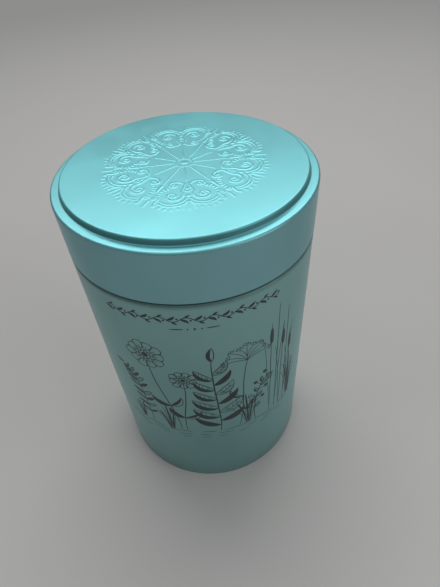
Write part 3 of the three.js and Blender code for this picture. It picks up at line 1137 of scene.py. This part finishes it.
class TIN_OT_wall(TinOperator):
    """Build the body wall with its shoulder, neck, curled mouth and side lap"""

    bl_idname = "tin.wall"
    bl_label = "Body wall"

    def execute(self, context):
        sizes, finish = context.scene.tin_sheets, context.scene.tin_finish
        neck_foot = LID_LOW.z - sizes.edge_gap
        path = self.outer_face(sizes, neck_foot)
        outer = filled_in(path, longest=14 * MM, margin=1.2 * MM)
        inner = filled_in(other_face(path, sizes.sheet), longest=14 * MM)
        painted = (outer[:, 0] > path[0, 0]) & (outer[:, 1] < LID_LOW.z + PAINT_EDGE)
        strip = sizes.lap_width * BARE_STRIP
        # The wall's whole enamel takes its duller tone, which is painted shade.
        enamel = enamel_material(finish, "satin_mint_enamel_wall", finish.wall_mint, finish.wall_mint, strip)
        bare = tinplate_material(finish, "wall_inside_tinplate", LENGTHWISE)
        angles = self.angles(sizes)
        radii, heights = np.vstack([outer, inner[::-1]]).T
        # Painted shade on the wall: on the shoulder in the groove under the lid, in a band just below the
        # lid's edge and along the foot.
        neck = ramp(OUTER_RADIUS - radii, *NECK_DARK) * (heights > LID_LOW.z - NECK_DARK_DEPTH)
        joint = ramp(neck_foot - heights, *JOINT_DARK)
        shade = finish.joint_shade * np.maximum(joint, ramp(heights, *FOOT_DARK))
        marks = {"crevice": np.maximum(neck, shade), "upright": np.ones(len(radii))}

        rings, shape = (lambda *place: angles), (lambda *place: self.lap(sizes, *place))
        painted_from = int(np.argmax(painted))
        piece = turned_sheet("wall_shell", outer, inner, rings, [enamel, bare], painted_from, shape, marks)
        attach(piece, "tin_body")
        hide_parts("body_wall")
        return {"FINISHED"}

    def outer_face(self, sizes, neck_foot):
        """The wall's outer face from the end of the mouth's curl down to the tip of the base seam."""
        radius = OUTER_RADIUS - sizes.skin
        neck = OUTER_RADIUS - 2 * sizes.hem_bend - sizes.neck_clearance
        centre = (neck - sizes.curl_radius, WALL_TOP - sizes.curl_radius)
        curl = arc(centre, sizes.curl_radius, sizes.curl_turn, -sizes.curl_turn, CURL_STEPS)
        drop = (radius - neck) / math.tan(sizes.slope)
        shoulder = neck_foot - sizes.neck_bend * math.tan(sizes.slope / 2) - drop
        below = rounded_path(
            (neck, centre[1], 0),
            (neck, shoulder + drop, sizes.neck_bend),
            (radius, shoulder, sizes.shoulder_bend),
            (radius, 0.0, sizes.seam_bend),
            (OUTER_RADIUS - sizes.seam_width, 0.0, sizes.seam_bend),
            (OUTER_RADIUS - sizes.seam_width, sizes.seam_return, 0),
        )
        return np.vstack([curl, below[1:]])

    def angles(self, sizes):
        """Even steps round the wall, with close ones at the side lap."""
        even = np.linspace(-math.pi, math.pi, COLUMNS, endpoint=False)
        lap = sizes.lap_width / OUTER_RADIUS
        close = (np.linspace(-lap, lap, LAP_COLUMNS) + 2 * math.pi) % (2 * math.pi) - math.pi
        return np.sort(np.concatenate([even[math.pi - np.abs(even) > lap], close]))

    def lap(self, sizes, radius, height, angles, is_outside):
        """Moves a ring at the side lap: outside a groove exp(-(s / w)^2), inside the lap's thickness."""
        straight = radius > OUTER_RADIUS - sizes.skin - sizes.sheet - SAME
        if not (straight and BASE_HIGH.z < height < LID_LOW.z):
            return 0.0
        s = (math.pi - np.abs(angles)) * OUTER_RADIUS / sizes.lap_width
        groove = sizes.lap_groove * np.exp(-((s / GROOVE) ** 2))
        inward = groove if is_outside else sizes.sheet * ramp(s, *LAP_EDGE)
        return round_z(-inward, 0.0, angles)


class TIN_OT_base(TinOperator):
    """Build the recessed base plate"""

    bl_idname = "tin.base"
    bl_label = "Base plate"

    def execute(self, context):
        sizes, finish = context.scene.tin_sheets, context.scene.tin_finish
        step, middle = sizes.stiffener_radius, BASE_HIGH.z
        floor = middle - sizes.stiffener_rise
        rim = OUTER_RADIUS - (sizes.seam_width - sizes.sheet) / 2
        plain = rounded_path(
            (step * 0.5, middle, 0),
            (step - sizes.stiffener_width, middle, STIFFENER_BEND),
            (step, floor, STIFFENER_BEND),
            (rim, floor, sizes.rim_bend),
            (rim, BASE_LOW.z, 0),
        )
        path = np.vstack([(0.0, middle), (step * 0.25, middle), plain])
        back = other_face(path, sizes.sheet)
        inside = tinplate_material(finish, "base_inside_tinplate", CROSSWISE)
        under = tinplate_material(finish, "base_under_tinplate", CROSSWISE)
        outer, inner = filled_in(path, longest=8 * MM), filled_in(back, longest=8 * MM)
        angles = even_angles(BASE_COLUMNS)
        piece = turned_sheet("base_pan", outer, inner, lambda *place: angles, [inside, under])
        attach(piece, "tin_body")
        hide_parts("base_plate")
        return {"FINISHED"}


class TIN_OT_print(TinOperator):
    """Draw the line print round the wall"""

    bl_idname = "tin.print"
    bl_label = "Side print"

    def execute(self, context):
        sizes, settings = context.scene.tin_sheets, context.scene.tin_print
        pen = Pen(settings)
        draw_side(pen, OUTER_RADIUS / MM)
        radii = OUTER_RADIUS - sizes.skin * 2, OUTER_RADIUS - PRINT_MARGIN
        vertices, quads = ribbon_mesh(pen.ribbons, *radii)
        piece = new_piece("side_print", vertices, quads, [ink_material(settings)], smooth=False)
        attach(piece, "tin_body")
        return {"FINISHED"}


OPERATORS = (TIN_OT_studio, TIN_OT_lid, TIN_OT_wall, TIN_OT_base, TIN_OT_print)


class TIN_PT_panel(bpy.types.Panel):
    """Lists the steps that build the tin"""

    bl_idname = "TIN_PT_panel"
    bl_label = "Round Slip-Lid Tin"
    bl_space_type = "VIEW_3D"
    bl_region_type = "UI"
    bl_category = "Tin"

    def draw(self, context):
        column = self.layout.column(align=True)
        for operator in OPERATORS:
            column.operator(operator.bl_idname)


SETTINGS = {
    "tin_sheets": TinSheetSettings,
    "tin_relief": TinReliefSettings,
    "tin_print": TinPrintSettings,
    "tin_finish": TinFinishSettings,
    "tin_studio": TinStudioSettings,
}
CLASSES = (*SETTINGS.values(), *OPERATORS, TIN_PT_panel)


def register():
    for cls in CLASSES:
        bpy.utils.register_class(cls)
    for name, group in SETTINGS.items():
        setattr(bpy.types.Scene, name, PointerProperty(type=group))


def unregister():
    for name in SETTINGS:
        delattr(bpy.types.Scene, name)
    for cls in reversed(CLASSES):
        bpy.utils.unregister_class(cls)


def main():
    register()
    bpy.ops.tin.studio()
    bpy.ops.tin.lid()
    bpy.ops.tin.wall()
    bpy.ops.tin.base()
    bpy.ops.tin.print()
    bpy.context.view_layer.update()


if __name__ == "__main__":
    main()
